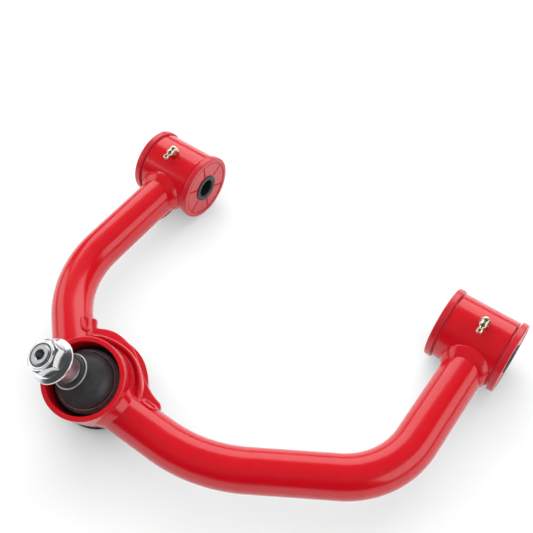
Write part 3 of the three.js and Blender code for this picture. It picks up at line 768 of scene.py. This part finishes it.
def nut_shape():
    """A flange lock nut: round flange, chamfered hexagon, and a rolled crown round its locking ring."""
    s = sizes()
    flange = s["nut_flange"]
    outer = [(7.15, NUT_SEAT, 0.3), (flange, NUT_SEAT, 0.35), (flange, NUT_SEAT + 1.6, 0.5),
             (12.0, NUT_SEAT + 3.9, 0.6)]
    side = [(13.5, h, 0) for h in np.arange(NUT_SEAT + 4.3, NUT_TOP - 1.1, 0.2)]
    crown = [(9.4, NUT_TOP - 1.1, 0.3), (9.1, NUT_TOP, 0.5), (8.2, NUT_TOP, 0.3), (7.75, NUT_TOP - 0.6, 0.2),
             (7.75, NUT_TOP - 2.3, 0), (7.15, NUT_TOP - 2.3, 0)]
    profile = rounded(outer + side + crown, steps=5)

    def hexed(radii, heights, angles):
        chamfer = s["nut_hex"] / 2 - 0.35 + (NUT_TOP - 1.0 - heights) * 1.35
        hexagonal = np.minimum(hexagon(s["nut_hex"], angles, 0.3), chamfer)
        return np.where((radii > 13.0) & (heights > NUT_SEAT + 4.0), hexagonal, radii), heights
    return turned(profile, about(BALL, STUD_AXIS, NUT_SPIN), 192, hexed)


def insert_shape():
    """The nylon ring under the nut's crown."""
    profile = rounded([(7.1, NUT_TOP - 2.1, 0.2), (7.7, NUT_TOP - 2.1, 0.1), (7.7, NUT_TOP - 0.45, 0.2),
                       (7.1, NUT_TOP - 0.45, 0.25)])
    return turned(profile, about(BALL, STUD_AXIS), 96)


def cap_shape():
    """The moulded dust cap: flat crown, broad chamfer and a short skirt."""
    profile = rounded([
        (0, -25.7, 0), (18.5, -25.7, 1.6), (28.9, -20.9, 1.2), (29.3, -17.7, 0.5), (26.8, -17.7, 0.1),
        (26.8, -20.4, 0), (23.6, -20.4, 0), (17.0, -23.9, 0.5), (0, -23.9, 0)], steps=6)
    return turned(profile, about(BALL, cup_axis()), 160)


# ---------- materials ----------
def add_node(tree, kind, links=None, **settings):
    """Adds a node, sets its attributes or sockets by name, and links sockets to earlier outputs."""
    node = tree.nodes.new(kind)
    for key, value in settings.items():
        if key in node.inputs.keys():
            node.inputs[key].default_value = value
        else:
            setattr(node, key, value)
    for key, output in (links or {}).items():
        tree.links.new(output, node.inputs[key])
    return node


def new_material(name, colour_name, **shader_values):
    """A material, its principled shader and its coordinates in metres. Its colour is a setting's name or a code."""
    if colour_name[0] == "#":
        base = srgb(colour_name)
    else:
        base = getattr(bpy.context.scene.control_arm_colours, colour_name)
    material = bpy.data.materials.new(name)
    material.use_nodes = True
    tree = material.node_tree
    shader = tree.nodes["Principled BSDF"]
    shader.inputs["Base Color"].default_value = (*base, 1)
    for key, value in shader_values.items():
        shader.inputs[key.replace("_", " ")].default_value = value
    place = add_node(tree, "ShaderNodeTexCoord").outputs["Object"]
    return material, shader, place


def per_mm(size):
    """Noise scale that gives features of a size in millimetres."""
    return 1 / (size * MM)


def vary(place, feature, low, high, detail=3.0):
    """A value between low and high that wanders over features of a size in millimetres."""
    tree = place.id_data
    noise = add_node(tree, "ShaderNodeTexNoise", {"Vector": place}, Scale=per_mm(feature), Detail=detail)
    spread = add_node(tree, "ShaderNodeMapRange", {"Value": noise.outputs["Fac"]})
    for key, value in (("From Min", 0.07), ("From Max", 0.7), ("To Min", low), ("To Max", high)):
        spread.inputs[key].default_value = value
    return spread.outputs["Result"]


# The colour sockets of a mix node, which share their names with others.
MIX_DARK, MIX_LIGHT, MIX_RESULT = 6, 7, 2


def finish(shader, tone, dark, roughness=None, relief=None, depth=0.01, light=1.0):
    """Links a tone that runs between two shares of the base colour, a roughness, and a bump in millimetres."""
    tree = shader.id_data
    base = shader.inputs["Base Color"].default_value[:3]
    mix = add_node(tree, "ShaderNodeMix", {"Factor": tone}, data_type="RGBA")
    for socket, share in ((MIX_DARK, dark), (MIX_LIGHT, light)):
        mix.inputs[socket].default_value = (*(c * share for c in base), 1)
    tree.links.new(mix.outputs[MIX_RESULT], shader.inputs["Base Color"])
    if roughness is not None:
        tree.links.new(roughness, shader.inputs["Roughness"])
    if relief is not None:
        raised = add_node(tree, "ShaderNodeBump", {"Height": relief}, Strength=1.0, Distance=depth * MM)
        tree.links.new(raised.outputs["Normal"], shader.inputs["Normal"])


def powder_coat():
    """Gloss polyester powder, baked: it flows to a deep even gloss with a faint orange peel."""
    material, shader, place = new_material(
        "gloss_red_powder_coat", "powder", Coat_Weight=0.25, Coat_Roughness=0.05)
    # Orange peel: swells about 2 mm across.
    finish(shader, vary(place, 18, 0, 1), 0.93, vary(place, 6, 0.17, 0.25),
           vary(place, 2.2, 0, 1, detail=1.0), 0.012)
    return material


def moulded_polyurethane():
    """Moulded polyurethane: a satin skin with faint flow marks."""
    material, shader, place = new_material(
        "moulded_red_polyurethane", "bush", Coat_Weight=0.4, Coat_Roughness=0.14)
    finish(shader, vary(place, 9, 0, 1), 0.88, vary(place, 3, 0.3, 0.42),
           vary(place, 0.9, 0, 1), 0.01)
    return material


def boot_rubber():
    """Moulded chloroprene: a satin black skin with fine pebble and a dusty bloom in places."""
    material, shader, place = new_material("moulded_boot_rubber", "rubber", IOR=1.52)
    finish(shader, vary(place, 7, 0, 1), 0.7, vary(place, 4, 0.34, 0.48),
           vary(place, 0.5, 0, 1), 0.012, light=1.6)
    return material


def cap_nylon():
    """Moulded black nylon: smooth satin with a very fine spark-eroded texture."""
    material, shader, place = new_material("moulded_black_nylon", "cap", IOR=1.53)
    finish(shader, vary(place, 11, 0, 1), 0.85, vary(place, 2, 0.3, 0.42),
           vary(place, 0.4, 0, 1), 0.008, light=1.25)
    return material


def plain_finish(name, colour_name, roughness, feature, depth, spread=0.85, metallic=1.0):
    """A finish whose tone and roughness wander, with a shallow bump from how it was made."""
    material, shader, place = new_material(name, colour_name, Metallic=metallic)
    finish(shader, vary(place, feature * 4, 0, 1), spread,
           vary(place, feature, roughness * 0.8, roughness * 1.25), vary(place, feature, 0, 1), depth)
    return material


def ground_steel():
    """Ground alloy steel: fine marks run round the stud's axis, which stretch its highlights."""
    material, shader, place = new_material("ground_stud_steel", "stud", Metallic=1.0)
    tree = material.node_tree
    turn = Vector(STUD_AXIS).rotation_difference(Vector((0, 0, 1))).to_euler()
    lined = add_node(tree, "ShaderNodeMapping", {"Vector": place}, vector_type="POINT")
    lined.inputs["Rotation"].default_value = turn
    squeeze = add_node(tree, "ShaderNodeMapping", {"Vector": lined.outputs["Vector"]}, vector_type="POINT")
    # Grinding marks about 0.25 mm apart along the axis, drawn coarser than the real grit so that they show.
    squeeze.inputs["Scale"].default_value = (1, 1, 25)
    marks = vary(squeeze.outputs["Vector"], 6, 0, 1)
    finish(shader, marks, 0.82, vary(squeeze.outputs["Vector"], 6, 0.28, 0.42), marks, 0.01)
    return material


MAKERS = {
    "powder_coat": powder_coat,
    "bush_polyurethane": moulded_polyurethane,
    "boot_rubber": boot_rubber,
    "cap_black": cap_nylon,
    "stud_steel": ground_steel,
}

# Name, colour, roughness, feature in mm, bump depth in mm, darkest share of the colour, metallic.
PLAIN = {
    # Machined, then zinc plated: bright with faint turning marks.
    "nut_zinc": ("bright_zinc_plating", "zinc", 0.2, 1.2, 0.006, 0.9),
    # Turned brass with a nickel wash.
    "fitting_brass": ("nickel_washed_brass", "brass", 0.22, 0.8, 0.01),
    # Manganese phosphate on steel: dark grey and dull.
    "sleeve_steel": ("phosphated_sleeve_steel", "sleeve", 0.45, 1.0, 0.01, 0.8, 0.8),
    # Forged, then machined and left bare.
    "housing_steel": ("forged_steel", "#4A4C50", 0.5, 1.5, 0.03, 0.8),
    # Cold-drawn wire.
    "spring_steel": ("drawn_spring_steel", "#F2F3F4", 0.5, 0.8, 0.004),
    # Moulded nylon.
    "nut_nylon": ("nylon_locking_ring", "nylon", 0.42, 0.9, 0.01, 0.85, 0.0),
    # Moulded acetal.
    "race_polymer": ("acetal_race", "#E6E1D2", 0.4, 1.2, 0.008, 0.92, 0.0),
}

_finishes = {}


def finish_of(slot):
    """The material of a record slot, made once."""
    if slot not in _finishes:
        _finishes[slot] = MAKERS[slot]() if slot in MAKERS else plain_finish(*PLAIN[slot])
    return _finishes[slot]


# ---------- operators ----------
def coated(name, shape, *nodes):
    """A piece of the powder-coated weldment."""
    return make_piece(name, shape, "powder_coat", "arm", *nodes)


class CONTROLARM_OT_legs(bpy.types.Operator):
    """Bend the two leg tubes and run their weld beads."""
    bl_idname = "control_arm.legs"
    bl_label = "Legs and welds"

    def execute(self, context):
        for seed, side in enumerate(SIDES):
            leg = make_leg(side)
            coated(f"{side}_leg_bent_tube", tube_shape(side), f"{side}_leg_tube")
            saddle = bead_shape(leg, housing_barrel(side), 6.4, 4.2, 0.9, True, seed)
            coated(f"{side}_leg_saddle_weld", saddle, f"{side}_leg_housing_weld")
            foot = bead_shape(leg, cup_barrel(), 5.0, 4.0, 0.4, False, seed + 2)
            coated(f"{side}_leg_foot_weld", foot, f"{side}_leg_cup_weld")
            coated(f"{side}_leg_gusset_strap", gusset_shape(side), f"{side}_leg_gusset")
        return {"FINISHED"}


class CONTROLARM_OT_housings(bpy.types.Operator):
    """Turn the two bushing housings."""
    bl_idname = "control_arm.housings"
    bl_label = "Bushing housings"

    def execute(self, context):
        for side in SIDES:
            coated(f"{side}_leg_turned_housing", housing_shape(side),
                       f"{side}_leg_bush_housing")
        return {"FINISHED"}


class CONTROLARM_OT_bushings(bpy.types.Operator):
    """Mould the half bushings and turn their sleeves."""
    bl_idname = "control_arm.bushings"
    bl_label = "Bushings and sleeves"

    def execute(self, context):
        for side, outward in SIDES.items():
            for half, sign in (("outer", outward), ("inner", -outward)):
                make_piece(f"{side}_leg_{half}_half_bushing", bush_shape(side, sign), "bush_polyurethane", "arm",
                       f"{side}_leg_{half}_bush")
            make_piece(f"{side}_leg_bushing_sleeve", sleeve_shape(side), "sleeve_steel", f"{side}_sleeve",
                   f"{side}_leg_sleeve")
        return {"FINISHED"}


class CONTROLARM_OT_fittings(bpy.types.Operator):
    """Make the two angled grease fittings."""
    bl_idname = "control_arm.fittings"
    bl_label = "Grease fittings"

    def execute(self, context):
        for side in SIDES:
            make_piece(f"{side}_leg_angled_fitting", fitting_shape(side), "fitting_brass", "arm",
                   f"{side}_leg_grease_fitting")
        return {"FINISHED"}


class CONTROLARM_OT_cup(bpy.types.Operator):
    """Turn the ball-joint cup and stamp the webs between the legs."""
    bl_idname = "control_arm.cup"
    bl_label = "Cup and webs"

    def execute(self, context):
        coated("turned_cup", cup_shape(), "ball_joint_cup")
        coated("flat_web", web_plate_shape(), "web_plate")
        coated("stamped_upper_web", web_cover_shape(1), "web_upper_cover")
        coated("stamped_lower_web", web_cover_shape(-1), "web_lower_cover")
        along_short = math.pi / 2 + SHORT_ANGLE
        rims = joined(slot_rim_shape("short", 46, 10.5, along_short),
                      slot_rim_shape("long", 44, 11.5, math.radians(-4)))
        coated("web_tab_rims", rims)
        make_piece("moulded_dust_cap", cap_shape(), "cap_black", "arm", "dust_cap")
        return {"FINISHED"}


class CONTROLARM_OT_boot(bpy.types.Operator):
    """Mould the rubber boot in its two folds, and its wire rings."""
    bl_idname = "control_arm.boot"
    bl_label = "Boot and rings"

    def execute(self, context):
        lower = spline([(19.9, 9.6), (21.2, 9.6), (21.6, 10.8), (21.9, 12.6), (21.85, 14.2), (21.3, 15.6),
                        (20.5, 16.4), (19.6, 16.85), (18.95, 17.15), (18.8, 17.6), (18.7, 18.2), (18.1, 18.25),
                        (17.95, 17.2), (18.7, 16.0), (19.7, 14.4), (19.8, 12.0)])
        piece = make_piece("boot_lower_roll", boot_shape(lower), "boot_rubber", None, "boot_lower_fold")
        on_cup_axis(BOOT_FOOT)
        on_cup_axis(BOOT_WAIST)
        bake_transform(piece)
        upper = spline([(17.4, 18.7), (18.7, 18.65), (18.75, 19.3), (18.5, 20.2), (17.8, 21.2), (17.0, 21.9),
                        (16.4, 22.2), (15.5, 22.9), (13.8, 23.9), (12.2, 24.6), (11.4, 25.2), (11.2, 26.2),
                        (11.3, 27.6), (11.2, 28.5), (10.4, 29.0), (9.6, 29.3), (9.0, 29.2), (9.15, 28.0),
                        (9.3, 25.8), (9.9, 24.3), (12.4, 22.9), (14.6, 21.6), (16.6, 20.1)])
        piece = make_piece("boot_upper_cone", boot_shape(upper), "boot_rubber", None, "boot_upper_fold")
        on_cup_axis(BOOT_WAIST)
        on_cup_axis(LEAN_END)
        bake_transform(piece)
        lean_boot(piece)
        waist = wire_ring(WAIST_RING, WAIST_WIRE, BOOT_WAIST - 0.7, about(BALL, cup_axis()))
        make_piece("boot_waist_wire", waist, "spring_steel", "boot_waist", "boot_waist_ring")
        neck = wire_ring(NECK_RING, NECK_WIRE, NECK_HEIGHT, about(BALL, STUD_AXIS))
        make_piece("boot_neck_wire", neck, "spring_steel", "boot_neck", "boot_neck_ring")
        return {"FINISHED"}


class CONTROLARM_OT_stud(bpy.types.Operator):
    """Turn the ball stud, its flange nut and the nut's locking ring."""
    bl_idname = "control_arm.stud"
    bl_label = "Stud and nut"

    def execute(self, context):
        make_piece("ground_ball_stud", stud_shape(), "stud_steel", "stud", "ball_stud")
        make_piece("flange_lock_nut", nut_shape(), "nut_zinc", "stud", "stud_nut")
        make_piece("locking_ring", insert_shape(), "nut_nylon", "stud", "nut_insert")
        return {"FINISHED"}


class CONTROLARM_OT_inner_parts(bpy.types.Operator):
    """Give the ball joint's inner parts their finishes."""
    bl_idname = "control_arm.inner_parts"
    bl_label = "Inner parts' finishes"

    def execute(self, context):
        kept = {"ball_joint_shell": "housing_steel", "upper_race": "race_polymer", "lower_race": "race_polymer",
                "preload_spring": "spring_steel", "cover_plate": "housing_steel", "snap_ring": "spring_steel"}
        for node, slot in kept.items():
            part = frame["nodes"][node]
            part.data.materials.clear()
            part.data.materials.append(finish_of(slot))
        return {"FINISHED"}


# ---------- stage, in metres ----------
AIM = Vector((0, 0, 0.02))
FLOOR_HALF = 4
WORLD_STRENGTH = 0.07
LENS, SENSOR = 53.01, 36
CAMERA_PLACE = Vector((0.1867, -0.2266, 0.5118))
CAMERA_AXES = ((0.8095, 0.5872, 0.0006), (-0.4732, 0.6517, 0.5928), (0.3477, -0.4801, 0.8054))


def soft_box(name, place, size, radiance):
    """A rectangular soft box whose face has a set radiance, so that its size sets only how soft it is."""
    data = bpy.data.lights.new(name, "AREA")
    data.shape = "RECTANGLE"
    data.size, data.size_y = size
    data.energy = radiance * math.pi * size[0] * size[1]
    light = bpy.data.objects.new(name, data)
    light.location = place
    light.rotation_euler = (AIM - light.location).to_track_quat("-Z", "Y").to_euler()
    bpy.context.scene.collection.objects.link(light)
    return light


class CONTROLARM_OT_stage(bpy.types.Operator):
    """Lay the floor and set the lights and the camera."""
    bl_idname = "control_arm.stage"
    bl_label = "Floor, lights and camera"

    def execute(self, context):
        material, shader, place = new_material("pale_matt_floor", "floor", Roughness=0.8)
        finish(shader, vary(place, 60, 0, 1), 0.985)
        mesh = bpy.data.meshes.new("floor")
        corners = [(x * FLOOR_HALF, y * FLOOR_HALF, 0) for x, y in ((-1, -1), (1, -1), (1, 1), (-1, 1))]
        mesh.from_pydata(corners, [], [(0, 1, 2, 3)])
        mesh.materials.append(material)
        floor = bpy.data.objects.new("floor", mesh)
        context.scene.collection.objects.link(floor)

        soft_box("far_bank", (-0.65, 1.35, 0.95), (2.8, 1.3), 2.2)
        soft_box("right_bank", (1.65, 0.25, 0.85), (1.9, 1.1), 1.9)
        soft_box("left_bank", (-1.6, -0.55, 0.8), (1.7, 1.0), 1.6)
        # A scrim straight above that lights the surfaces and stays out of their reflections.
        scrim = soft_box("overhead_scrim", (-0.1, -0.1, 1.5), (3.0, 3.0), 1.1)
        scrim.visible_glossy = False
        world = bpy.data.worlds.new("studio")
        context.scene.world = world
        world.use_nodes = True
        sky = world.node_tree.nodes["Background"].inputs
        sky["Color"].default_value = (1, 1, 1, 1)
        sky["Strength"].default_value = WORLD_STRENGTH

        lens = bpy.data.cameras.new("camera")
        lens.sensor_width = SENSOR
        lens.lens = LENS
        lens.clip_start = 0.01
        camera = bpy.data.objects.new("camera", lens)
        turn = Matrix(CAMERA_AXES).transposed().to_4x4()
        camera.matrix_world = Matrix.Translation(CAMERA_PLACE) @ turn
        context.scene.collection.objects.link(camera)
        context.scene.camera = camera
        context.scene.view_settings.view_transform = "Standard"
        return {"FINISHED"}


STEPS = [CONTROLARM_OT_legs, CONTROLARM_OT_housings, CONTROLARM_OT_bushings, CONTROLARM_OT_fittings,
         CONTROLARM_OT_cup, CONTROLARM_OT_boot, CONTROLARM_OT_stud, CONTROLARM_OT_inner_parts, CONTROLARM_OT_stage]


class CONTROLARM_PT_panel(bpy.types.Panel):
    """Lists the arm's settings and the steps that build it."""
    bl_idname = "CONTROLARM_PT_panel"
    bl_label = "Control arm"
    bl_space_type = "VIEW_3D"
    bl_region_type = "UI"
    bl_category = "Control arm"

    def draw(self, context):
        for group, names in ((context.scene.control_arm_sizes, ControlArmSizes.__annotations__),
                             (context.scene.control_arm_colours, ControlArmColours.__annotations__)):
            column = self.layout.column()
            for name in names:
                column.prop(group, name)
        for step in STEPS:
            self.layout.operator(step.bl_idname)


CLASSES = [ControlArmSizes, ControlArmColours, *STEPS, CONTROLARM_PT_panel]


def register():
    for item in CLASSES:
        bpy.utils.register_class(item)
    bpy.types.Scene.control_arm_sizes = bpy.props.PointerProperty(type=ControlArmSizes)
    bpy.types.Scene.control_arm_colours = bpy.props.PointerProperty(type=ControlArmColours)


def unregister():
    del bpy.types.Scene.control_arm_colours
    del bpy.types.Scene.control_arm_sizes
    for item in reversed(CLASSES):
        bpy.utils.unregister_class(item)


def main():
    register()
    for step in STEPS:
        area, name = step.bl_idname.split(".")
        getattr(getattr(bpy.ops, area), name)()


if __name__ == "__main__":
    main()
